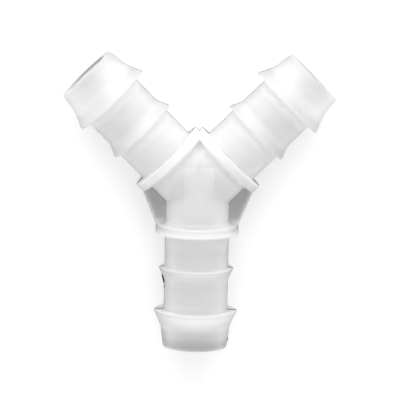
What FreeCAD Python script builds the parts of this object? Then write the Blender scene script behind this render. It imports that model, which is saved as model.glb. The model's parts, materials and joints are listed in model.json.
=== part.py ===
import FreeCAD, Part
import math
import os

# Tubing Y connector: one moulding with three equal barbed hose tails.
# It lies flat: X across, +Y towards the fork of the two outlets, +Z up.
# The origin is the middle of its footprint, on the surface it lies on.

# Angle of each outlet from the line of the inlet, in degrees
outlet_angle = 45.0

# Diameters, in mm
bore_diameter = 9.0
stem_diameter = 12.0
collar_diameter = 15.6
second_barb_diameter = 14.0
main_barb_diameter = 15.7
nose_diameter = 12.9
mouth_diameter = 12.1

# Lengths along a leg, from the crossing of the axes out to the mouth
hub_reach = 6.85
collar_thickness = 1.85
inner_stem_length = 6.45
second_barb_length = 2.55
outer_stem_length = 5.65
main_barb_length = 3.5
nose_length = 3.65

# The barbs: a narrow level crest, then a hollow flare that steepens towards it
crest_width = 0.3
second_flare_hollow = 0.05
main_flare_hollow = 0.08

# Webs that fill the corners of the hub, in the middle plane. The small one in the fork is thicker.
web_thickness = 1.6
web_edge_round = 0.4
fork_web_thickness = 4.4

# Raised panel on the front of the hub
panel_width = 5.5
panel_length = 9.8
panel_height = 0.15
panel_shift = -0.25

# Broken edges
mouth_edge = 0.3
bore_lip = 0.2
collar_edge = 0.2
crest_edge = 0.1

# Where each feature of a leg starts, worked out from the lengths
collar_face = hub_reach + collar_thickness
second_shoulder = collar_face + inner_stem_length
second_end = second_shoulder + second_barb_length
main_shoulder = second_end + outer_stem_length
nose_start = main_shoulder + main_barb_length
leg_length = nose_start + nose_length

bore_radius = bore_diameter / 2
stem_radius = stem_diameter / 2
collar_radius = collar_diameter / 2
second_barb_radius = second_barb_diameter / 2
main_barb_radius = main_barb_diameter / 2
nose_radius = nose_diameter / 2
mouth_radius = mouth_diameter / 2

# Direction of each leg, as a turn about +Z from +Y
right_outlet = -outlet_angle
left_outlet = outlet_angle
inlet = 180.0

centre = FreeCAD.Vector(0, 0, 0)
upright = FreeCAD.Vector(0, 0, 1)
along_leg = FreeCAD.Vector(0, 1, 0)

# Two points this near each other, in mm, are one point
same_place = 1e-6


def profile_point(radius, distance):
    return FreeCAD.Vector(radius, distance, 0)


def hollow_arc(start, end, depth):
    """Arc between two profile points that dips towards the axis by a depth."""
    chord = end - start
    towards_axis = FreeCAD.Vector(-chord.y, chord.x, 0)
    towards_axis.normalize()
    middle = (start + end) * 0.5 + towards_axis * depth
    return Part.Arc(start, middle, end).toShape()


def barb_profile(shoulder, foot_radius, crest_radius, flare_end, hollow):
    """Square shoulder, narrow crest with broken edges, then the hollow flare."""
    crest_end = shoulder + crest_width
    points = [
        profile_point(foot_radius, shoulder),
        profile_point(crest_radius - crest_edge, shoulder),
        profile_point(crest_radius, shoulder + crest_edge),
        profile_point(crest_radius, crest_end),
    ]
    edges = Part.makePolygon(points).Edges
    edges.append(hollow_arc(points[-1], flare_end, hollow))
    return edges


def leg_profile():
    """Half section of one leg, from the crossing of the axes to its mouth."""
    second_flare_end = profile_point(stem_radius, second_end)
    main_flare_end = profile_point(nose_radius, nose_start)
    to_second_barb = [
        profile_point(0, leg_length),
        profile_point(0, 0),
        profile_point(stem_radius, 0),
        profile_point(stem_radius, hub_reach),
        profile_point(collar_radius - collar_edge, hub_reach),
        profile_point(collar_radius, hub_reach + collar_edge),
        profile_point(collar_radius, collar_face - collar_edge),
        profile_point(collar_radius - collar_edge, collar_face),
        profile_point(stem_radius, collar_face),
        profile_point(stem_radius, second_shoulder),
    ]
    outer_stem = [second_flare_end, profile_point(stem_radius, main_shoulder)]
    to_axis = [
        main_flare_end,
        profile_point(mouth_radius, leg_length - mouth_edge),
        profile_point(mouth_radius - mouth_edge, leg_length),
        profile_point(0, leg_length),
    ]
    edges = Part.makePolygon(to_second_barb).Edges
    edges += barb_profile(
        second_shoulder, stem_radius, second_barb_radius, second_flare_end, second_flare_hollow
    )
    edges += Part.makePolygon(outer_stem).Edges
    edges += barb_profile(
        main_shoulder, stem_radius, main_barb_radius, main_flare_end, main_flare_hollow
    )
    edges += Part.makePolygon(to_axis).Edges
    return Part.Face(Part.Wire(edges))


def solid_leg():
    """One leg along +Y with its collar, barbs and nose, before it is bored."""
    return leg_profile().revolve(centre, along_leg, 360)


def passage():
    """The space inside one leg, with the broken edge of its mouth."""
    half_section = [
        profile_point(0, 0),
        profile_point(bore_radius, 0),
        profile_point(bore_radius, leg_length - bore_lip),
        profile_point(bore_radius + bore_lip, leg_length),
        profile_point(bore_radius + bore_lip, leg_length + bore_lip),
        profile_point(0, leg_length + bore_lip),
        profile_point(0, 0),
    ]
    return Part.Face(Part.makePolygon(half_section)).revolve(centre, along_leg, 360)


def turned(shape, degrees):
    copy = shape.copy()
    copy.rotate(centre, upright, degrees)
    return copy


def three_ways(shape):
    """The same shape along the inlet and both outlets."""
    return [turned(shape, turn) for turn in (inlet, left_outlet, right_outlet)]


def fused(shapes):
    return shapes[0].multiFuse(shapes[1:])


def leg_point(turn, distance, side):
    """Point in the middle plane, out along a leg and to the right of its axis."""
    angle = math.radians(turn)
    along = FreeCAD.Vector(-math.sin(angle), math.cos(angle), 0)
    right = FreeCAD.Vector(math.cos(angle), math.sin(angle), 0)
    return along * distance + right * side


def web(turn, next_turn, thickness):
    """Flat gusset between the collars of two neighbouring legs."""
    seat = hub_reach + collar_thickness / 2
    collar_reach = collar_radius - collar_edge
    meeting_reach = hub_reach * math.tan(math.radians(next_turn - turn) / 2)
    reach = min(collar_reach, meeting_reach)
    outer_edge = [leg_point(turn, hub_reach, -reach), leg_point(next_turn, hub_reach, reach)]
    if meeting_reach <= collar_reach:
        outer_edge = outer_edge[:1]
    corners = [centre, leg_point(turn, seat, 0), leg_point(turn, seat, -bore_radius)]
    corners += outer_edge
    corners += [leg_point(next_turn, seat, bore_radius), leg_point(next_turn, seat, 0), centre]
    flat = Part.Face(Part.makePolygon(corners))
    flat.translate(upright * (-thickness / 2))
    plate = flat.extrude(upright * thickness)
    if len(outer_edge) == 2:
        plate = plate.makeFillet(web_edge_round, outer_lines(plate, outer_edge))
    return plate


def outer_lines(plate, ends):
    """The two long edges of a web's outer side, above and below the middle plane."""
    middle = (ends[0] + ends[1]) * 0.5
    found = []
    for edge in plate.Edges:
        flat_middle = FreeCAD.Vector(edge.CenterOfMass.x, edge.CenterOfMass.y, 0)
        offset = flat_middle.distanceToPoint(middle)
        rise = edge.Vertexes[-1].Z - edge.Vertexes[0].Z
        if max(offset, abs(rise)) < same_place:
            found.append(edge)
    return found


def hub_panel():
    """Raised bare panel that follows the front of the crossing tubes."""
    raised_radius = stem_radius + panel_height
    tubes = three_ways(Part.makeCylinder(raised_radius, hub_reach, centre, along_leg))
    low_corner = FreeCAD.Vector(-panel_width / 2, panel_shift - panel_length / 2, 0)
    window = Part.makeBox(panel_width, panel_length, raised_radius, low_corner)
    return fused(tubes).common(window)


def y_connector():
    bodies = three_ways(solid_leg())
    bodies.append(web(right_outlet, left_outlet, fork_web_thickness))
    bodies.append(web(left_outlet, inlet, web_thickness))
    bodies.append(web(inlet, right_outlet + 360, web_thickness))
    bodies.append(hub_panel())
    body = fused(bodies).cut(fused(three_ways(passage())))
    return body.removeSplitter()


# The furthest point of an outlet along +Y, and the middle of the footprint
outlet_tilt = math.radians(outlet_angle)
outlet_reach = leg_length * math.cos(outlet_tilt)
outlet_reach += (mouth_radius - mouth_edge) * math.sin(outlet_tilt)
crossing = FreeCAD.Vector(0, (leg_length - outlet_reach) / 2, main_barb_radius)

fitting = y_connector()
fitting.translate(crossing)

os.makedirs("parts", exist_ok=True)
fitting.exportStep("parts/y_connector.step")
print("y_connector", "solids", len(fitting.Solids), "volume", round(fitting.Volume, 1))
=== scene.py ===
import bpy
import json
import math
from mathutils import Matrix, Vector


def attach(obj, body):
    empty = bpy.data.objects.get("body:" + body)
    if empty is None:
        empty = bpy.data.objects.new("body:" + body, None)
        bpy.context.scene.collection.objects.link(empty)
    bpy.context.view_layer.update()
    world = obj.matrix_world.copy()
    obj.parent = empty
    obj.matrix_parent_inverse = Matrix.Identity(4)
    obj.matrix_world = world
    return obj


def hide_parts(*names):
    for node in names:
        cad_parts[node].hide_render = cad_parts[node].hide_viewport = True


# Barbed hose Y, moulded in one piece of natural polypropylene, lying on a pale sweep
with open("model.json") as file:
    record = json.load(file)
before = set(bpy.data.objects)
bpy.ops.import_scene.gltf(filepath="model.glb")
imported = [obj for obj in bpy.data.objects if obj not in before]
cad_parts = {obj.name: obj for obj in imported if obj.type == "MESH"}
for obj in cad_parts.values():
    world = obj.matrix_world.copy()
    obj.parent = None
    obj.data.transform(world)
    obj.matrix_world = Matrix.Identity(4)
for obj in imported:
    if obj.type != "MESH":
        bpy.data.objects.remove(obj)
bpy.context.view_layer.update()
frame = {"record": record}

mm = 0.001
bodyNode = "y_connector"


# Where the legs are, read from the record's mounts

mounts = {mount["name"]: mount for mount in frame["record"]["mounts"]}
inletBore = mounts["inlet_bore"]
legAxes = [Vector(mounts[name]["axis"]) for name in ("inlet_bore", "left_outlet_bore", "right_outlet_bore")]
passageLength = inletBore["dims"]["length_mm"] * mm
boreRadius = inletBore["dims"]["r_mm"] * mm
barbRadius = mounts["inlet_barb"]["dims"]["r_mm"] * mm
crossing = Vector(inletBore["pos_m"]) - legAxes[0] * (passageLength / 2)
legTurns = [math.atan2(-axis.x, axis.y) % (2 * math.pi) for axis in legAxes]   # about +Z, from +Y
legTurns[2] -= 2 * math.pi   # the right outlet, as a turn to the right
print("legs at", [round(math.degrees(turn), 1) for turn in legTurns])


# Helpers for node trees, materials and meshes

class Wire:   # a number in a node tree, so that its maths reads as an expression
    def __init__(self, bench, socket):
        self.bench = bench
        self.socket = socket

    def calculate(self, operation, *others):
        values = dict(enumerate((self,) + others))
        return self.bench.wire("ShaderNodeMath", {"operation": operation}, values)

    def swapped(self, operation, other):
        return self.bench.wire("ShaderNodeMath", {"operation": operation}, {0: other, 1: self})

    def __add__(self, other):
        return self.calculate("ADD", other)

    def __sub__(self, other):
        return self.calculate("SUBTRACT", other)

    def __rsub__(self, other):
        return self.swapped("SUBTRACT", other)

    def __mul__(self, other):
        return self.calculate("MULTIPLY", other)

    def __truediv__(self, other):
        return self.calculate("DIVIDE", other)

    def __pow__(self, other):
        return self.calculate("POWER", other)

    __radd__ = __add__
    __rmul__ = __mul__

    def highest(self, other):
        return self.calculate("MAXIMUM", other)

    def lowest(self, other):
        return self.calculate("MINIMUM", other)

    def absolute(self):
        return self.calculate("ABSOLUTE")

    def between(self, low, high):   # smooth step, 0 at low and 1 at high
        settings = {"interpolation_type": "SMOOTHSTEP"}
        values = {"Value": self, "From Min": low, "From Max": high}
        return self.bench.wire("ShaderNodeMapRange", settings, values)

    def around(self, middle, reach):   # smooth step, a half at its middle
        return self.between(middle - reach, middle + reach)


class Bench:   # lays nodes into one tree
    def __init__(self, tree):
        self.tree = tree

    def node(self, kind, settings=None, values=None):
        made = self.tree.nodes.new(kind)
        settings = dict(settings or {})
        stops = settings.pop("stops", None)
        cases = settings.pop("cases", 2)
        for name, value in settings.items():
            setattr(made, name, value)
        if stops:
            self.setStops(made.color_ramp, stops)
        for extra in range(cases - 2):
            made.index_switch_items.new()
        self.feedAll(made.inputs, values or {})
        return made

    def setStops(self, ramp, stops):
        while len(ramp.elements) < len(stops):
            ramp.elements.new(1.0)
        for element, (place, colour) in zip(ramp.elements, stops):
            element.position = place
            element.color = colour

    def feedAll(self, sockets, values):
        for key, value in values.items():
            self.feed(sockets[key], value)

    def feed(self, socket, value):
        if isinstance(value, list):
            for each in value:
                self.feed(socket, each)
        elif isinstance(value, Wire):
            self.tree.links.new(value.socket, socket)
        elif isinstance(value, bpy.types.NodeSocket):
            self.tree.links.new(value, socket)
        elif isinstance(value, bpy.types.Node):
            self.tree.links.new(value.outputs[0], socket)
        else:
            socket.default_value = value

    def wire(self, kind, settings=None, values=None, output=0):
        return Wire(self, self.node(kind, settings, values).outputs[output])


def geometryTree(name, inputs):   # a geometry tree with named inputs and one geometry out
    tree = bpy.data.node_groups.new(name, "GeometryNodeTree")
    for label, kind in inputs.items():
        tree.interface.new_socket(label, in_out="INPUT", socket_type=kind)
    tree.interface.new_socket("Geometry", in_out="OUTPUT", socket_type="NodeSocketGeometry")
    bench = Bench(tree)
    return bench, bench.node("NodeGroupInput").outputs


def newMaterial(name):   # with the bench for its tree, and its shader's sockets
    material = bpy.data.materials.new(name)
    material.use_nodes = True
    return material, Bench(material.node_tree), material.node_tree.nodes["Principled BSDF"].inputs


def meltDown(host, name):   # the evaluated object as a plain mesh, with no modifier left
    graph = bpy.context.evaluated_depsgraph_get()
    mesh = bpy.data.meshes.new_from_object(host.evaluated_get(graph))
    mesh.name = name
    piece = bpy.data.objects.new(name, mesh)
    bpy.context.scene.collection.objects.link(piece)
    bpy.data.objects.remove(host)
    return piece


def meshObject(name, points, edges=(), faces=()):
    mesh = bpy.data.meshes.new(name)
    mesh.from_pydata(points, edges, faces)
    mesh.update()
    made = bpy.data.objects.new(name, mesh)
    bpy.context.scene.collection.objects.link(made)
    return made


def shellsObject(name, stacks):   # closed shells; each is rings of points, and whether they run backwards
    points, faces = [], []
    for rings, backwards in stacks:
        first, count = len(points), len(rings[0])
        points += [point for ring in rings for point in ring]
        last = len(points) - count
        shell = [tuple(reversed(range(first, first + count))), tuple(range(last, last + count))]
        for low in range(first, last, count):
            for corner in range(count):
                after = (corner + 1) % count
                shell.append((low + corner, low + after, low + count + after, low + count + corner))
        faces += [tuple(reversed(face)) for face in shell] if backwards else shell
    return meshObject(name, points, faces=faces)


def growWith(host, tree, values):   # runs a geometry tree on an object; values go by the inputs' names
    modifier = host.modifiers.new(tree.name, "NODES")
    modifier.node_group = tree
    for item in tree.interface.items_tree:
        if item.in_out == "INPUT" and item.name in values:
            modifier[item.identifier] = values[item.name]
    return host


# Outlines, drawn as (radius or height, distance along the leg) in millimetres

def roundedLine(corners, steps):   # corners are (across, along, rounding)
    line = []
    for index, (across, along, rounding) in enumerate(corners):
        corner = Vector((across, along))
        if rounding == 0 or index in (0, len(corners) - 1):
            line.append(corner)
            continue
        back = (Vector(corners[index - 1][:2]) - corner).normalized()
        ahead = (Vector(corners[index + 1][:2]) - corner).normalized()
        half = back.angle(ahead) / 2
        middle = corner + (back + ahead).normalized() * (rounding / math.sin(half))
        start = corner + back * (rounding / math.tan(half)) - middle
        end = corner + ahead * (rounding / math.tan(half)) - middle
        sweep = start.angle_signed(end)
        for step in range(steps + 1):
            turn = -sweep * step / steps
            cosTurn, sinTurn = math.cos(turn), math.sin(turn)
            spoke = Vector((start.x * cosTurn - start.y * sinTurn, start.x * sinTurn + start.y * cosTurn))
            line.append(middle + spoke)
    return line


def hollowFlare(start, end, depth, steps):   # points between two corners, on a shallow arc that dips inwards
    chord = Vector(end) - Vector(start)
    inwards = Vector((-chord.y, chord.x)).normalized()
    points = []
    for step in range(1, steps):
        share = step / steps
        point = Vector(start) + chord * share + inwards * (4 * depth * share * (1 - share))
        points.append((point.x, point.y, 0))
    return points


tail = {                      # one hose tail, in mm; distances run from the crossing to the mouth
    "stemRadius": 6.0,
    "collarRadius": 7.8,
    "secondBarbRadius": 7.0,
    "noseRadius": 6.45,
    "mouthRadius": 6.05,
    "collarStart": 6.85,
    "collarEnd": 8.7,
    "secondBarb": 15.15,
    "secondBarbEnd": 17.7,
    "mainBarb": 23.35,
    "noseStart": 26.85,
    "crestWidth": 0.3,
    "secondHollow": 0.05,
    "mainHollow": 0.08,
    "footRounding": 0.3,      # where a collar or shoulder rises from the stem
    "hubFootRounding": 0.9,   # the same on the side of the hub
    "collarRounding": 0.25,
    "collarHubRounding": 0.4,
    "crestRounding": 0.12,
    "flareRounding": 0.9,
    "mouthRounding": 0.18,
    "lipRounding": 0.2,
    "flareSteps": 8,
    "roundingSteps": 5,
    "facetsRound": 144,
    "weld": 0.0001,           # points nearer to each other than this become one
    "sharpBend": 28,          # degrees; what bends harder than this is shaded as an edge
}
legLength = passageLength / mm + tail["lipRounding"]
boreInMm = boreRadius / mm
barbInMm = barbRadius / mm


def barbCorners(shoulder, crestRadius, flareEnd, hollow):
    crestEnd = shoulder + tail["crestWidth"]
    corners = [
        (tail["stemRadius"], shoulder, tail["footRounding"]),
        (crestRadius, shoulder, tail["crestRounding"]),
        (crestRadius, crestEnd, tail["crestRounding"]),
    ]
    corners += hollowFlare((crestRadius, crestEnd), flareEnd, hollow, tail["flareSteps"])
    corners.append((*flareEnd, tail["flareRounding"]))
    return corners


def tailOutline():
    stem = tail["stemRadius"]
    collar = tail["collarRadius"]
    foot = tail["footRounding"]
    corners = [(0, 0, 0), (stem, 0, 0)]
    corners.append((stem, tail["collarStart"], tail["hubFootRounding"]))
    corners.append((collar, tail["collarStart"], tail["collarHubRounding"]))
    corners += [(collar, tail["collarEnd"], tail["collarRounding"]), (stem, tail["collarEnd"], foot)]
    secondEnd = (stem, tail["secondBarbEnd"])
    corners += barbCorners(tail["secondBarb"], tail["secondBarbRadius"], secondEnd, tail["secondHollow"])
    noseStart = (tail["noseRadius"], tail["noseStart"])
    corners += barbCorners(tail["mainBarb"], barbInMm, noseStart, tail["mainHollow"])
    corners += [(tail["mouthRadius"], legLength, tail["mouthRounding"]), (0, legLength, 0)]
    return roundedLine(corners, tail["roundingSteps"])


def passageOutline():
    lip = tail["lipRounding"]
    steps = tail["roundingSteps"]
    line = [Vector((0, 0)), Vector((boreInMm, 0))]
    for step in range(steps + 1):
        turn = math.pi / 2 * step / steps
        line.append(Vector((boreInMm + lip * (1 - math.cos(turn)), legLength - lip * (1 - math.sin(turn)))))
    line += [Vector((boreInMm + lip, legLength + lip)), Vector((0, legLength + lip))]
    return line


pinRadius = 1.0   # the circle that outlines are swept along, in mm


def outlineObject(name, line):   # a chain of edges that a tree revolves; x is measured from the pin
    points = [((point.x - pinRadius) * mm, point.y * mm, 0) for point in line]
    edges = [(index, index + 1) for index in range(len(points) - 1)]
    return meshObject(name, points, edges)


# The hub's webs, the fillings of its creases and the window of its raised panel

hub = {                       # in mm
    "webThickness": 1.6,
    "forkWebThickness": 4.4,
    "webInset": 0.15,         # how far a web's outer corners lie inside a collar's rim
    "webSink": 0.25,          # and how far they go into the collar
    "webRounding": 0.4,
    "webRoundingSteps": 5,
    "panelWidth": 5.5,
    "panelLength": 9.8,
    "panelHeight": 0.15,
    "panelShift": -0.25,
    "windowSpare": 1.0,       # how far the box that cuts out the panel stands above the tubes
    "creaseRoundings": (3.6, 1.0, 1.0),   # soften the creases between two tubes: in the fork, left, right
    "creaseTurns": (3, 85),   # degrees down from the tubes' tops where a filling starts, and may end
    "creaseReach": 8.5,       # or it ends this far along a leg,
    "creaseTail": 0.7,        # and runs on by this under the collars,
    "creaseNarrowing": 0.3,   # narrower by this share
    "creaseSink": 0.02,       # how far a filling's edges go under the tubes
    "creaseDepth": 1.0,       # and its root
    "creaseSteps": 16,
    "creaseArcSteps": 6,
}

turnsRound = [legTurns[2], legTurns[1], legTurns[0], legTurns[2] + 2 * math.pi]
hubCorners = list(zip(turnsRound, turnsRound[1:]))   # pairs of neighbouring legs: the fork, left, right
forkAngle = legTurns[1]   # half of the angle between the outlets
halfTurn = (legTurns[0] - legTurns[1]) / 2   # half of the corner that a web fills, between inlet and outlet
webReach = tail["collarRadius"] - hub["webInset"]
webStart = tail["collarStart"] + hub["webSink"]
webEdge = webStart * math.cos(halfTurn) + webReach * math.sin(halfTurn)


def planPoint(turn, along, side):   # in the middle plane, in mm, out along a leg and to the right of it
    ahead = Vector((-math.sin(turn), math.cos(turn)))
    right = Vector((math.cos(turn), math.sin(turn)))
    return ahead * along + right * side


def webPlan(turn, nextTurn, inset):   # corners of a web, with its outer edge drawn in by inset
    seat = (tail["collarStart"] + tail["collarEnd"]) / 2
    half = (nextTurn - turn) / 2
    reach = min(webReach, webStart * math.tan(half))
    inwards = planPoint(turn + half, -inset, 0)
    plan = [Vector((0, 0)), planPoint(turn, seat, 0), planPoint(turn, seat, -boreInMm)]
    plan.append(planPoint(turn, webStart, -reach) + inwards)
    plan.append(planPoint(nextTurn, webStart, reach) + inwards)
    plan += [planPoint(nextTurn, seat, boreInMm), planPoint(nextTurn, seat, 0)]
    return plan


def webLevels(thickness):   # heights, and how far the rounded outer edge is drawn in at each
    rounding = hub["webRounding"]
    steps = hub["webRoundingSteps"]
    upper = []
    for step in range(steps + 1):
        turn = math.pi / 2 * step / steps
        upper.append((thickness / 2 - rounding * (1 - math.sin(turn)), rounding * (1 - math.cos(turn))))
    return [(-height, inset) for height, inset in reversed(upper)] + upper


def websObject():
    stacks = []
    thicknesses = (hub["forkWebThickness"], hub["webThickness"], hub["webThickness"])
    for (turn, nextTurn), thickness in zip(hubCorners, thicknesses):
        plans = [(height, webPlan(turn, nextTurn, inset)) for height, inset in webLevels(thickness)]
        rings = [[(place.x * mm, place.y * mm, height * mm) for place in plan] for height, plan in plans]
        stacks.append((rings, False))
    return shellsObject("websPlan", stacks)


def creaseSection(turn, nextTurn, ball, rise):   # ring of points where a ball rests against two tubes
    away = (tail["stemRadius"] + ball) * math.sin(rise) / math.sin((nextTurn - turn) / 2)
    middle = planPoint((turn + nextTurn) / 2, away, 0).to_3d()
    middle.z = (tail["stemRadius"] + ball) * math.cos(rise)
    touches = []
    for legTurn in (turn, nextTurn):
        axis = planPoint(legTurn, 1, 0).to_3d()
        touches.append((axis * middle.dot(axis) - middle).normalized())
    steps = hub["creaseArcSteps"]
    ring = [middle + touches[0].slerp(touches[1], step / steps) * ball for step in range(steps + 1)]
    ring[0] += touches[0] * hub["creaseSink"]
    ring[-1] += touches[1] * hub["creaseSink"]
    ring.append(middle + (touches[0] + touches[1]).normalized() * (ball + hub["creaseDepth"]))
    return ring


def creaseRings(turn, nextTurn, ball):   # from near the tubes' tops down, to the collars or the middle plane
    steps = hub["creaseSteps"]
    steepest = hub["creaseReach"] * math.tan((nextTurn - turn) / 2) / (tail["stemRadius"] + ball)
    first, last = [math.radians(angle) for angle in hub["creaseTurns"]]
    end = math.asin(min(steepest, math.sin(last)))
    rises = [first + (end - first) * step / steps for step in range(steps + 1)]
    rings = [creaseSection(turn, nextTurn, ball, rise) for rise in rises]
    if end < last:
        outwards = planPoint((turn + nextTurn) / 2, hub["creaseTail"], 0).to_3d()
        across = planPoint((turn + nextTurn) / 2, 0, 1).to_3d()
        narrowing = hub["creaseNarrowing"]
        rings.append([point + outwards - across * (narrowing * point.dot(across)) for point in rings[-1]])
    return rings


def creaseFillings():
    stacks = []
    for (turn, nextTurn), ball in zip(hubCorners, hub["creaseRoundings"]):
        rings = creaseRings(turn, nextTurn, ball)
        for side in (1, -1):   # above and below the middle plane
            placed = [[(point.x * mm, point.y * mm, point.z * mm * side) for point in ring] for ring in rings]
            stacks.append((placed, side == 1))
    return shellsObject("creaseFillings", stacks)


def panelWindow():
    side = hub["panelWidth"] / 2 * mm
    low = (hub["panelShift"] - hub["panelLength"] / 2) * mm
    high = low + hub["panelLength"] * mm
    top = (tail["stemRadius"] + hub["windowSpare"]) * mm
    corners = ((-side, low), (side, low), (side, high), (-side, high))
    rings = [[(x, y, z) for x, y in corners] for z in (0, top)]
    return shellsObject("panelWindow", [(rings, False)])


def revolvedWays():   # group: an outline revolved, and set along each of the three legs
    inputs = {
        "Outline": "NodeSocketObject",
        "Pin Radius": "NodeSocketFloat",
        "Facets": "NodeSocketInt",
        "Inlet Turn": "NodeSocketFloat",
        "Left Turn": "NodeSocketFloat",
        "Right Turn": "NodeSocketFloat",
        "Weld": "NodeSocketFloat",
    }
    bench, given = geometryTree("revolvedWays", inputs)
    chain = bench.node("GeometryNodeObjectInfo", None, {"Object": given["Outline"]})
    line = bench.node("GeometryNodeMeshToCurve", None, {"Mesh": chain.outputs["Geometry"]})
    circle = {"Resolution": given["Facets"], "Radius": given["Pin Radius"]}
    pin = bench.node("GeometryNodeCurvePrimitiveCircle", None, circle).outputs["Curve"]
    turned = bench.node("GeometryNodeCurveToMesh", None, {"Curve": pin, "Profile Curve": line})
    closed = bench.node("GeometryNodeMergeByDistance", None, {"Geometry": turned, "Distance": given["Weld"]})
    places = bench.node("GeometryNodePoints", None, {"Count": len(legTurns)})
    order = bench.node("GeometryNodeInputIndex")
    turns = {"Index": order, "0": given["Inlet Turn"], "1": given["Left Turn"], "2": given["Right Turn"]}
    turn = bench.node("GeometryNodeIndexSwitch", {"data_type": "FLOAT", "cases": len(legTurns)}, turns)
    angles = bench.node("ShaderNodeCombineXYZ", None, {"X": math.pi / 2, "Z": turn})
    facing = bench.node("FunctionNodeEulerToRotation", None, {"Euler": angles})
    ways = {"Points": places, "Instance": closed, "Rotation": facing}
    bench.node("NodeGroupOutput", None, {0: bench.node("GeometryNodeInstanceOnPoints", None, ways)})
    return bench.tree


def mouldingTree():
    inputs = {
        "Geometry": "NodeSocketGeometry",
        "Tail Outline": "NodeSocketObject",
        "Passage Outline": "NodeSocketObject",
        "Panel Outline": "NodeSocketObject",
        "Panel Window": "NodeSocketObject",
        "Crease Fillings": "NodeSocketObject",
        "Pin Radius": "NodeSocketFloat",
        "Facets": "NodeSocketInt",
        "Inlet Turn": "NodeSocketFloat",
        "Left Turn": "NodeSocketFloat",
        "Right Turn": "NodeSocketFloat",
        "Weld": "NodeSocketFloat",
        "Crease": "NodeSocketFloat",
        "Crossing": "NodeSocketVector",
        "Plastic": "NodeSocketMaterial",
    }
    bench, given = geometryTree("yMoulding", inputs)
    ways = revolvedWays()
    passed = ("Pin Radius", "Facets", "Inlet Turn", "Left Turn", "Right Turn", "Weld")

    def along(outline):
        values = {name: given[name] for name in passed}
        values["Outline"] = given[outline]
        return bench.node("GeometryNodeGroup", {"node_tree": ways}, values)

    def combined(operation, first, others):
        settings = {"operation": operation, "solver": "MANIFOLD"}
        if first is None:
            return bench.node("GeometryNodeMeshBoolean", settings, {"Mesh 2": others})
        return bench.node("GeometryNodeMeshBoolean", settings, {"Mesh 1": first, "Mesh 2": others})

    window = bench.node("GeometryNodeObjectInfo", None, {"Object": given["Panel Window"]})
    raised = combined("UNION", None, [along("Panel Outline")])
    panel = combined("INTERSECT", None, [raised, window.outputs["Geometry"]])
    fillings = bench.node("GeometryNodeObjectInfo", None, {"Object": given["Crease Fillings"]})
    parts = [along("Tail Outline"), given["Geometry"], panel, fillings.outputs["Geometry"]]
    solid = combined("UNION", None, parts)
    bored = combined("DIFFERENCE", solid, [along("Passage Outline")])
    placed = bench.node("GeometryNodeTransform", None, {"Geometry": bored, "Translation": given["Crossing"]})
    smooth = bench.node("GeometryNodeSetShadeSmooth", {"domain": "FACE"}, {"Geometry": placed})
    bend = bench.node("GeometryNodeInputMeshEdgeAngle")
    sharp = bench.node(
        "FunctionNodeCompare",
        {"data_type": "FLOAT", "operation": "GREATER_THAN"},
        {0: bend.outputs["Unsigned Angle"], 1: given["Crease"]},
    )
    creased = bench.node(
        "GeometryNodeSetShadeSmooth",
        {"domain": "EDGE"},
        {"Geometry": smooth, "Selection": sharp, "Shade Smooth": False},
    )
    real = bench.node("GeometryNodeRealizeInstances", None, {"Geometry": creased})
    finished = bench.node("GeometryNodeSetMaterial", None, {"Geometry": real, "Material": given["Plastic"]})
    bench.node("NodeGroupOutput", None, {0: finished})
    return bench.tree


def makeBody(material):
    radius, end = tail["stemRadius"] + hub["panelHeight"], tail["collarStart"]
    raisedLine = [Vector(point) for point in ((0, 0), (radius, 0), (radius, end), (0, end))]
    helpers = {
        "Tail Outline": outlineObject("tailOutline", tailOutline()),
        "Passage Outline": outlineObject("passageOutline", passageOutline()),
        "Panel Outline": outlineObject("panelOutline", raisedLine),
        "Panel Window": panelWindow(),
        "Crease Fillings": creaseFillings(),
    }
    values = {
        **helpers,
        "Pin Radius": pinRadius * mm,
        "Facets": tail["facetsRound"],
        "Inlet Turn": legTurns[0],
        "Left Turn": legTurns[1],
        "Right Turn": legTurns[2],
        "Weld": tail["weld"] * mm,
        "Crease": math.radians(tail["sharpBend"]),
        "Crossing": crossing,
        "Plastic": material,
    }
    host = growWith(websObject(), mouldingTree(), values)
    body = meltDown(host, "connector_body")
    for helper in helpers.values():
        bpy.data.objects.remove(helper)
    return body


# Thin beads along paths in the middle plane: the parting line, and what the mould left beside it

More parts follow.
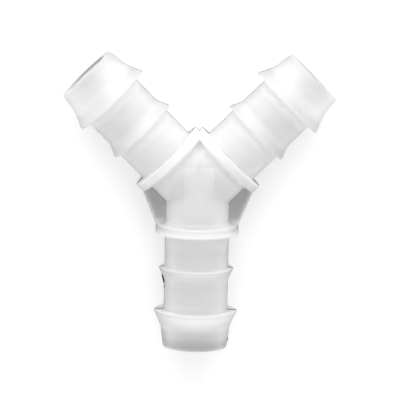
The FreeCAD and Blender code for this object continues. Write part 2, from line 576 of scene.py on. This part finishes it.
def beadTree():
    inputs = {
        "Geometry": "NodeSocketGeometry",
        "Radius": "NodeSocketFloat",
        "Spacing": "NodeSocketFloat",
        "Sides": "NodeSocketInt",
        "Unevenness": "NodeSocketFloat",
        "Wave Scale": "NodeSocketFloat",
        "Seed": "NodeSocketFloat",
        "Taper": "NodeSocketFloat",
        "Crossing": "NodeSocketVector",
        "Plastic": "NodeSocketMaterial",
    }
    bench, given = geometryTree("mouldBead", inputs)
    line = bench.node("GeometryNodeMeshToCurve", None, {"Mesh": given["Geometry"]})
    spaced = {"Curve": line, "Length": given["Spacing"]}
    even = bench.node("GeometryNodeResampleCurve", {"mode": "LENGTH"}, spaced)
    place = bench.node("GeometryNodeInputPosition")
    waves = {"Vector": place, "W": given["Seed"], "Scale": given["Wave Scale"]}
    wave = bench.wire("ShaderNodeTexNoise", {"noise_dimensions": "4D"}, waves, "Fac")
    share = bench.wire("GeometryNodeSplineParameter")
    fromEnd = share.lowest(1 - share) / Wire(bench, given["Taper"])
    scale = fromEnd.lowest(1) ** 0.5 * (1 - wave * given["Unevenness"])
    ring = {"Resolution": given["Sides"], "Radius": given["Radius"]}
    section = bench.node("GeometryNodeCurvePrimitiveCircle", None, ring)
    tube = {"Curve": even, "Profile Curve": section.outputs["Curve"], "Scale": scale, "Fill Caps": True}
    swept = bench.node("GeometryNodeCurveToMesh", None, tube)
    placed = bench.node("GeometryNodeTransform", None, {"Geometry": swept, "Translation": given["Crossing"]})
    smooth = bench.node("GeometryNodeSetShadeSmooth", {"domain": "FACE"}, {"Geometry": placed})
    real = bench.node("GeometryNodeRealizeInstances", None, {"Geometry": smooth})
    finished = bench.node("GeometryNodeSetMaterial", None, {"Geometry": real, "Material": given["Plastic"]})
    bench.node("NodeGroupOutput", None, {0: finished})
    return bench.tree


bead = {                      # what all of them share
    "spacing": 0.1,           # in mm
    "sides": 8,
    "waveScale": 900,         # per metre
    "finishes": {             # colour and roughness; light doesn't get through them
        # the parting line's dark grey is painted shade, standing in for the dark outline along the edges
        "partingOutlineShade": ((0.11, 0.111, 0.114, 1), 0.5),
        "flashDark": ((0.04, 0.04, 0.04, 1), 0.6),
        "nubGrey": ((0.13, 0.13, 0.13, 1), 0.5),
    },
}

parting = {                   # the fine line where the two halves of the mould met, in mm; a seam as moulded parts have, made dark as painted shade along the outline
    "radius": 0.14,
    "sink": 0.05,             # how far its middle lies under the surface
    "mouthGap": 0.1,          # and how far it stays from the mouths
    "unevenness": 0.5,        # share of the radius that comes and goes
    "taper": 0.01,            # share of the length that thins out at each end
    "seed": 4.0,
}

slivers = [                   # a dark curl of flash beside the inlet's second barb, then its fainter end
    {"start": 16.5, "end": 18.5, "radius": 0.42, "unevenness": 0.4, "taper": 0.3, "seed": 9.0},
    {"start": 18.65, "end": 19.4, "radius": 0.17, "unevenness": 0.4, "taper": 0.35, "seed": 10.0},
]

vestige = {                   # a nub left on the inlet's nose
    "start": 28.8,
    "end": 29.4,
    "radius": 0.26,
    "unevenness": 0.3,
    "taper": 0.45,
    "seed": 2.0,
}


def partingPath(turn, nextTurn):   # from one mouth in to the hub and out to the next mouth
    slope = math.tan((nextTurn - turn) / 2)
    inwards = []
    for point in reversed(tailOutline()):
        if point.y > legLength - parting["mouthGap"]:
            continue
        if point.x > point.y * slope or point.y < webStart:
            break
        inwards.append(point)
    meeting = Vector((tail["collarRadius"], tail["collarRadius"] / slope))
    if meeting.y < tail["collarStart"]:
        meeting = Vector((webReach, webStart))
    inwards.append(meeting)
    sunk = [(point.y, point.x - parting["sink"]) for point in inwards]
    path = [planPoint(turn, along, -side) for along, side in sunk]
    return path + [planPoint(nextTurn, along, side) for along, side in reversed(sunk)]


def sidePath(side, start, end):   # along an edge of the inlet: side 1 is its left in the view, -1 its right
    stretch = [point for point in tailOutline() if start < point.y < end and point.x > boreInMm]
    ends = [Vector((outlineRadius(place), place)) for place in (start, end)]
    return [planPoint(legTurns[0], point.y, side * point.x) for point in ends[:1] + stretch + ends[1:]]


def outlineRadius(place):   # the tail's radius at a distance along the leg
    outline = [point for point in tailOutline() if point.x > boreInMm]
    for near, far in zip(outline, outline[1:]):
        if near.y <= place < far.y:
            return near.x + (far.x - near.x) * (place - near.y) / (far.y - near.y)
    return tail["stemRadius"]


def pathsObject(name, paths):
    points, edges = [], []
    for path in paths:
        first = len(points)
        points += [(place.x * mm, place.y * mm, 0) for place in path]
        edges += [(first + index, first + index + 1) for index in range(len(path) - 1)]
    return meshObject(name, points, edges)


def makeBead(name, paths, made, material):
    values = {
        "Radius": made["radius"] * mm,
        "Spacing": bead["spacing"] * mm,
        "Sides": bead["sides"],
        "Unevenness": made["unevenness"],
        "Wave Scale": bead["waveScale"],
        "Seed": made["seed"],
        "Taper": made["taper"],
        "Crossing": crossing,
        "Plastic": material,
    }
    piece = meltDown(growWith(pathsObject(name + "Paths", paths), beadTree(), values), name)
    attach(piece, "root")
    print(name, len(piece.data.polygons), "faces")


# The plastic: whiter where it is thick, greyer and faintly blue where a thin wall lets light through, with
# painted light and shade laid over that: lighter at the fork, in corners and on flanks, darker at the sides
# of rings, at the mouths and on the webs

plastic = {                   # distances in mm; tones run from 0, black, to 1
    "outletTones": [          # along each outlet: it is lightest at the fork and where the wall is thick; partly painted light, raised at the fork and before each shoulder where shade falls, and darker towards the mouth
        (0.0, 0.70), (3.5, 0.67), (4.5, 0.75), (5.4, 0.90), (6.3, 0.96), (6.87, 0.985),
        (6.9, 0.67), (7.06, 0.67), (7.14, 0.765), (7.7, 0.75), (8.2, 0.69), (8.68, 0.67), (8.76, 0.86),
        (9.2, 0.835), (10.0, 0.77), (12.8, 0.755), (14.2, 0.905), (15.17, 0.985),
        (15.2, 0.66), (15.5, 0.665), (16.0, 0.705), (17.3, 0.70),
        (18.2, 0.665), (21.2, 0.665), (22.5, 0.88), (23.37, 0.96),
        (23.4, 0.66), (24.0, 0.68), (26.4, 0.685),
        (27.2, 0.655), (28.6, 0.60), (30.5, 0.475),
    ],
    "inletTones": [           # along the inlet, which is greyer, and greyest at its mouth: painted shade, as it lies away from the softbox, with painted light where its collar and shoulders shade it
        (0.0, 0.715), (5.0, 0.715), (6.3, 0.78), (6.75, 0.66),
        (7.3, 0.60), (8.2, 0.865), (9.4, 0.95),
        (10.7, 0.71), (12.0, 0.62), (14.0, 0.64), (15.12, 0.74),
        (15.2, 0.55), (15.5, 0.57), (15.8, 0.72), (17.2, 0.74),
        (18.6, 0.61), (21.5, 0.615), (22.9, 0.68), (23.35, 0.69),
        (23.4, 0.57), (23.7, 0.62), (24.3, 0.88), (24.9, 0.885), (25.8, 0.77), (26.5, 0.68),
        (27.2, 0.56), (28.2, 0.495), (28.9, 0.415), (29.8, 0.35), (30.5, 0.42),
    ],
    "legBlend": 0.5,          # one leg's tones pass into the next one's over twice this
    "lightest": 0.998,        # as light as any of it gets, as in the painted light in the corner of the fork
    "forkReach": (0.5, 3.0),  # across, from where that corner starts to fade to where it ends
    "forkStart": (5.6, 7.6),  # and along, towards the fork
    "underFork": 0.12,        # painted shade, darker just under the fork
    "underForkLevel": 6.7,    # around this far from the crossing
    "underForkFade": (0.2, 1.2),
    "underForkReach": (0.6, 2.0),
    "ringSide": 0.64,         # painted shade: collars and barbs are darker at their sides, most of all on the inlet
    "ringSideOnOutlets": 0.5,
    "ringTurn": (0.15, 0.95),   # this fades from a tube's side, 0, towards its top, 1
    "ringOnset": 0.1,
    "ringFade": 2.0,
    "collarSpill": 0.5,       # how far it goes on past a collar
    "rightRingSide": 0.86,    # painted shade: the crests on the right outlet are darker towards the outside
    "rightRingTurn": 0.8,
    "rightRingFade": (1, 2),  # until this far past the shoulder
    "flankLift": 0.19,        # painted light: the tubes are lighter on their flanks
    "flankStart": (0.2, 0.7),   # from a tube's side, 0, towards its top, 1
    "flankEnd": (0.6, 1.04),
    "noseFlankLift": 0.37,    # the inlet's nose most of all
    "noseFlank": (26.5, 28.5),
    "cornerLift": 0.34,       # and painted light on the hub's tubes where they run down into the corners, where shade falls
    "cornerEnd": (6.2, 7.0),
    "outerLift": 0.21,        # painted light, too, on the outer flank of each outlet's main barb and nose
    "outerTurn": (0.1, 0.9),
    "outerStart": (23.3, 24.0),
    "panelLift": 0.055,       # painted light: the raised panel is lighter towards the fork
    "panelReach": 4.0,
    "panelFloor": (4.5, 4.8),   # only what is higher than this is the panel
    "panelBlur": 0.03,
    "panelLineLift": 0.035,   # and painted highlights along its edges
    "panelLine": 0.2,
    "panelLineBlur": 0.05,
    # painted light inside the bore, where it lies in shade, and painted shade at the lips of the mouths
    "boreColour": (0.93, 0.94, 0.97, 1),
    "boreSkin": (0.1, 0.2),   # how far outside the bore its colour goes
    "boreLip": (29.85, 30.15),   # the lip colour sets in between these distances
    "boreLipShade": (0.265, 0.268, 0.273, 1),
    "paleLipShade": (0.44, 0.445, 0.455, 1),   # a paler painted shade, all round the right outlet, outside only on the left one
    "paleLipTurn": (0.4, 1.0),
    "webBlur": 0.05,
    "webFaces": (0.82, 0.95),   # heights over which the webs' colours end
    "webEnd": (6.7, 6.85),    # and distances, at the collars
    "webStart": (-4.5, -3.5),   # along the inlet's axis, which leaves out the small web in the fork
    # painted shade on the webs, where the shadowed floor shows through the thin plastic, with less of it at
    # their roots, rims, tops and feet
    "webShadeColour": (0.337, 0.341, 0.348, 1),
    "webRoot": (6.0, 7.6),
    "webRootColour": (0.43, 0.435, 0.445, 1),
    "webRimColour": (0.44, 0.443, 0.45, 1),
    "webRimWidth": 0.4,
    "webRimBlur": 0.15,
    "webTop": (5.9, 6.9),
    "webTopColour": (0.44, 0.445, 0.454, 1),
    "webFoot": (5.2, 6.9),
    "webFootColour": (0.65, 0.653, 0.656, 1),
    "cloudScale": 170,        # per metre
    "cloudDetail": 3.0,
    "cloudDepth": 0.05,
    "grainScale": 2600,
    "grainDetail": 2.0,
    "grainDepth": 0.000004,   # metres
    "scatterDistance": 0.005,   # metres
    "roughness": 0.36,
    "roughnessSpread": 0.10,
    "ior": 1.49,
}


def greyRamp(bench, amount, stops, reach):   # an uneven scale, looked up by a distance between 0 and reach
    ramp = [(place / reach, (tone, tone, tone, 1)) for place, tone in stops]
    return bench.wire("ShaderNodeValToRGB", {"stops": ramp}, {"Fac": amount / reach})


def mixed(bench, factor, first, second):
    values = {"Factor": factor, "A": first, "B": second}
    return bench.wire("ShaderNodeMix", {"data_type": "RGBA"}, values, "Result")


def scaled(bench, vector, factor):
    return bench.node("ShaderNodeVectorMath", {"operation": "SCALE"}, {0: vector, "Scale": factor})


def noiseWire(bench, place, scale, detail):
    values = {"Vector": place, "Scale": scale, "Detail": detail}
    return bench.wire("ShaderNodeTexNoise", {"noise_dimensions": "3D"}, values, "Fac")


class Spot:   # where a point of the plastic lies, in mm, as numbers for the shader's maths
    def __init__(self, bench, place):
        self.bench = bench
        fromCrossing = bench.node("ShaderNodeVectorMath", {"operation": "SUBTRACT"}, {0: place, 1: crossing})
        self.vector = scaled(bench, fromCrossing, 1 / mm)
        self.alongInlet, self.alongLeft, self.alongRight = [self.distanceAlong(axis) for axis in legAxes]
        self.alongOutlet = self.alongLeft.highest(self.alongRight)
        self.along = self.alongInlet.highest(self.alongOutlet)
        reach = bench.wire("ShaderNodeVectorMath", {"operation": "LENGTH"}, {0: self.vector}, "Value")
        self.offAxis = (reach * reach - self.along * self.along).highest(0) ** 0.5
        across = bench.node("ShaderNodeSeparateXYZ", None, {0: self.vector}).outputs
        self.side = Wire(bench, across["X"]).absolute()
        self.level = Wire(bench, across["Y"])
        self.rise = Wire(bench, across["Z"])
        self.height = self.rise.absolute()
        self.upright = self.height / self.offAxis   # 1 on a tube's top and bottom, 0 at its sides
        self.outerSide = self.along * math.cos(forkAngle) - self.level
        self.outerSide = self.outerSide / (self.offAxis * math.sin(forkAngle))   # 1 outside, -1 in the fork
        self.onInlet = (self.alongInlet - self.alongOutlet).around(0, plastic["legBlend"])
        self.onRight = (self.alongRight - self.alongLeft).around(0, plastic["legBlend"]) * (1 - self.onInlet)

    def distanceAlong(self, axis):
        values = {0: self.vector, 1: axis}
        return self.bench.wire("ShaderNodeVectorMath", {"operation": "DOT_PRODUCT"}, values, "Value")

    def inStretch(self, start, fade, end):   # 1 from start on, then fading out from fade to end
        onset = plastic["ringOnset"]
        return self.along.between(start, start + onset) * (1 - self.along.between(fade, end))


def lightestTone():
    return (plastic["lightest"],) * 3


def toneAlong(bench, spot):   # the legs' tones, partly painted light and shade, and painted light, white, in the corner of the fork
    outletTone = greyRamp(bench, spot.along, plastic["outletTones"], legLength)
    inletTone = greyRamp(bench, spot.along, plastic["inletTones"], legLength)
    tone = mixed(bench, spot.onInlet, outletTone, inletTone)
    forkLight = (1 - spot.side.between(*plastic["forkReach"])) * spot.level.between(*plastic["forkStart"])
    return mixed(bench, forkLight, tone, (*lightestTone(), 1))


def tubeShades(spot):   # factors of painted shade for collars and barbs, then of painted light for the tubes' flanks and corners
    rings = [
        (tail["collarStart"], tail["collarEnd"] + plastic["collarSpill"]),
        (tail["secondBarb"], tail["secondBarbEnd"]),
        (tail["mainBarb"], tail["noseStart"]),
    ]
    inRing = sum(spot.inStretch(start, end - plastic["ringFade"], end) for start, end in rings)
    depth = spot.onInlet.highest(plastic["ringSideOnOutlets"]) * (1 - plastic["ringSide"])
    ringShade = 1 - inRing * (1 - spot.upright.between(*plastic["ringTurn"])) * depth
    fade, end = plastic["rightRingFade"]
    onCrest = sum(spot.inStretch(start, start + fade, start + end) for start, _ in rings)
    outside = spot.outerSide.around(0, plastic["rightRingTurn"])
    crestShade = 1 - onCrest * spot.onRight * outside * (1 - plastic["rightRingSide"])

    offSide = spot.upright.between(*plastic["flankStart"])
    onFlank = (1 - spot.upright.between(*plastic["flankEnd"])) * offSide * (1 - inRing)
    onNose = spot.onInlet * spot.along.between(*plastic["noseFlank"])
    flankLift = onNose * (plastic["noseFlankLift"] - plastic["flankLift"]) + plastic["flankLift"]
    onOuter = spot.outerSide.between(*plastic["outerTurn"]) * spot.along.between(*plastic["outerStart"])
    onOuter = onOuter * (1 - spot.onInlet)
    cornerLight = (1 - offSide) * (1 - spot.along.between(*plastic["cornerEnd"]))
    lifts = (onFlank * flankLift, onOuter * plastic["outerLift"], cornerLight * plastic["cornerLift"])
    return [ringShade, crestShade] + [1 + lift for lift in lifts]


def hubShades(spot):   # factors of painted shade for the place under the fork, then of painted light for the raised panel and painted highlights along its edges
    levelFade = (spot.level - plastic["underForkLevel"]).absolute().between(*plastic["underForkFade"])
    underFork = (1 - spot.side.between(*plastic["underForkReach"])) * (1 - levelFade)
    halfWidth, halfLength = hub["panelWidth"] / 2, hub["panelLength"] / 2
    inwards = (halfWidth - spot.side).lowest(halfLength - (spot.level - hub["panelShift"]).absolute())
    onPanel = inwards.around(0, plastic["panelBlur"]) * spot.rise.between(*plastic["panelFloor"])
    onLine = onPanel * (1 - inwards.around(plastic["panelLine"], plastic["panelLineBlur"]))
    panelLift = spot.level.around(0, plastic["panelReach"]) * plastic["panelLift"]
    lifts = (onPanel * panelLift, onLine * plastic["panelLineLift"])
    return [1 - underFork * plastic["underFork"]] + [1 + lift for lift in lifts]


def addBore(bench, spot, colour):   # painted light inside, pale, with painted shade, a darker lip, at the mouths
    inBore = 1 - spot.offAxis.between(*[boreInMm + skin for skin in plastic["boreSkin"]])
    paleLip = spot.onRight.highest(spot.outerSide.between(*plastic["paleLipTurn"]) * (1 - spot.onInlet))
    lipShade = mixed(bench, paleLip, plastic["boreLipShade"], plastic["paleLipShade"])
    boreColour = mixed(bench, spot.along.between(*plastic["boreLip"]), plastic["boreColour"], lipShade)
    return mixed(bench, inBore, colour, boreColour)


def addWebs(bench, spot, colour):   # painted shade on the two large webs, lighter at their roots, rims, tops and feet
    inWeb = spot.offAxis.around(tail["stemRadius"], plastic["webBlur"])
    inWeb = inWeb * (1 - spot.height.between(*plastic["webFaces"]))
    inWeb = inWeb * (1 - spot.along.between(*plastic["webEnd"]))
    inWeb = inWeb * spot.alongInlet.between(*plastic["webStart"])
    bisectors = [(legAxes[0] + axis).normalized() for axis in legAxes[1:]]
    outwards = spot.distanceAlong(bisectors[0]).highest(spot.distanceAlong(bisectors[1]))
    rim = outwards.around(webEdge - plastic["webRimWidth"], plastic["webRimBlur"])
    layers = [
        (spot.offAxis.between(*plastic["webRoot"]), plastic["webShadeColour"]),
        (rim, plastic["webRimColour"]),
        (spot.alongOutlet.between(*plastic["webTop"]), plastic["webTopColour"]),
        (spot.alongInlet.between(*plastic["webFoot"]), plastic["webFootColour"]),
    ]
    webShadeColour = plastic["webRootColour"]
    for mask, layer in layers:
        webShadeColour = mixed(bench, mask, webShadeColour, layer)
    return mixed(bench, inWeb, colour, webShadeColour)


def plasticMaterial():
    material, bench, sockets = newMaterial("naturalPlastic")
    place = bench.node("ShaderNodeTexCoord").outputs["Object"]
    spot = Spot(bench, place)
    colour = scaled(bench, toneAlong(bench, spot), math.prod(tubeShades(spot) + hubShades(spot)))
    colour = bench.node("ShaderNodeVectorMath", {"operation": "MINIMUM"}, {0: colour, 1: lightestTone()})
    colour = addBore(bench, spot, colour)
    colour = addWebs(bench, spot, colour)
    cloud = noiseWire(bench, place, plastic["cloudScale"], plastic["cloudDetail"])
    colour = scaled(bench, colour, 1 + (cloud - 0.5) * (2 * plastic["cloudDepth"]))
    grain = noiseWire(bench, place, plastic["grainScale"], plastic["grainDetail"])
    relief = {"Height": grain, "Distance": plastic["grainDepth"], "Strength": 1.0}
    bench.feedAll(sockets, {
        "Base Color": colour,
        "Roughness": plastic["roughness"] + (cloud - 0.5) * plastic["roughnessSpread"],
        "Normal": bench.node("ShaderNodeBump", None, relief),
        "IOR": plastic["ior"],
        "Subsurface Weight": 1.0,
        "Subsurface Radius": (1.0, 1.0, 1.0),
        "Subsurface Scale": plastic["scatterDistance"],
    })
    return material


def plainPlastic(name, colour, roughness):   # for the thin beads, where no light gets through
    material, bench, sockets = newMaterial(name)
    bench.feedAll(sockets, {"Base Color": colour, "Roughness": roughness, "IOR": plastic["ior"]})
    return material


body = makeBody(plasticMaterial())
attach(body, "root")
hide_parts(bodyNode)
print("body", len(body.data.polygons), "faces")

finishes = {name: plainPlastic(name, *finish) for name, finish in bead["finishes"].items()}
partingPaths = [partingPath(turn, nextTurn) for turn, nextTurn in hubCorners]
makeBead("parting_line", partingPaths, parting, finishes["partingOutlineShade"])
for number, sliver in enumerate(slivers, 1):
    path = sidePath(1, sliver["start"], sliver["end"])
    makeBead("flash_sliver_" + str(number), [path], sliver, finishes["flashDark"])
nubPath = sidePath(-1, vestige["start"], vestige["end"])
makeBead("gate_vestige", [nubPath], vestige, finishes["nubGrey"])


# Floor, light and camera

camera = {                    # fitted to the photo's outline
    "aim": (0.000454, 0.000152, 0.00785),
    "towards": (-0.0344, 0.1591, 1),
    "distance": 0.577,
    "roll": -1.186,           # degrees
    "focalPixels": 3041,
    "framePixels": 400,
    "sensor": 36,             # mm
    "clip": (0.01, 20),       # metres
}


def makeCamera():
    data = bpy.data.cameras.new("viewCamera")
    data.sensor_width = camera["sensor"]
    data.lens = camera["focalPixels"] * camera["sensor"] / camera["framePixels"]
    data.clip_start, data.clip_end = camera["clip"]
    made = bpy.data.objects.new("viewCamera", data)
    bpy.context.scene.collection.objects.link(made)
    back = Vector(camera["towards"]).normalized()
    right = Vector((0, 1, 0)).cross(back).normalized()
    up = back.cross(right)
    roll = math.radians(camera["roll"])
    across = right * math.cos(roll) - up * math.sin(roll)
    upwards = up * math.cos(roll) + right * math.sin(roll)
    eye = Vector(camera["aim"]) + back * camera["distance"]
    turn = Matrix((across, upwards, back)).transposed()
    made.matrix_world = Matrix.Translation(eye) @ turn.to_4x4()
    bpy.context.scene.camera = made


studio = {                    # a pale sweep, a soft room and one softbox
    "floorSize": 6.0,         # metres
    "floorColour": (0.8, 0.8, 0.8, 1),
    "floorGlow": 0.30,        # lifts the floor to white, for the camera only
    "zenith": (0.90, 0.90, 0.90, 1),
    "zenithHeight": 0.9,      # the room is that light from this height up, out of 1
    "horizon": (0.62, 0.62, 0.62, 1),
    "roomStrength": 1.08,
    "softboxPower": 0.26,     # watts
    "softboxSize": (0.26, 0.14),
    "softboxPlace": (0.0, 0.17, 0.13),
}


def floorMaterial():
    material, bench, sockets = newMaterial("paleSweep")
    seen = Wire(bench, bench.node("ShaderNodeLightPath").outputs["Is Camera Ray"])
    bench.feedAll(sockets, {
        "Base Color": studio["floorColour"],
        "Roughness": 1.0,
        "Emission Color": (1, 1, 1, 1),
        "Emission Strength": seen * studio["floorGlow"],
    })
    return material


def makeFloor():
    half = studio["floorSize"] / 2
    corners = [(-half, -half, 0), (half, -half, 0), (half, half, 0), (-half, half, 0)]
    floor = meshObject("floor", corners, faces=[(0, 1, 2, 3)])
    floor.data.materials.append(floorMaterial())


def makeWorld():   # brighter overhead than at the horizon, and plain white where the camera sees it
    world = bpy.data.worlds.new("softRoom")
    world.use_nodes = True
    bpy.context.scene.world = world
    bench = Bench(world.node_tree)
    back = world.node_tree.nodes["Background"]
    where = bench.node("ShaderNodeTexCoord").outputs["Generated"]
    height = bench.node("ShaderNodeSeparateXYZ", None, {"Vector": where}).outputs["Z"]
    lifted = Wire(bench, height).between(0.0, studio["zenithHeight"])
    stops = [(0.0, studio["horizon"]), (1.0, studio["zenith"])]
    room = bench.node("ShaderNodeValToRGB", {"stops": stops}, {"Fac": lifted})
    seen = Wire(bench, bench.node("ShaderNodeLightPath").outputs["Is Camera Ray"])
    strength = seen * (1 - studio["roomStrength"]) + studio["roomStrength"]
    bench.feed(back.inputs["Color"], mixed(bench, seen, room, (1, 1, 1, 1)))
    bench.feed(back.inputs["Strength"], strength)


def makeSoftbox():
    data = bpy.data.lights.new("softbox", "AREA")
    data.shape = "RECTANGLE"
    data.size, data.size_y = studio["softboxSize"]
    data.energy = studio["softboxPower"]
    made = bpy.data.objects.new("softbox", data)
    bpy.context.scene.collection.objects.link(made)
    place = Vector(studio["softboxPlace"])
    made.location = place
    made.rotation_euler = (place - crossing).to_track_quat("Z", "Y").to_euler()


makeCamera()
makeFloor()
makeWorld()
makeSoftbox()
bpy.context.scene.view_settings.view_transform = "Standard"
print("camera, floor, room and softbox in place")
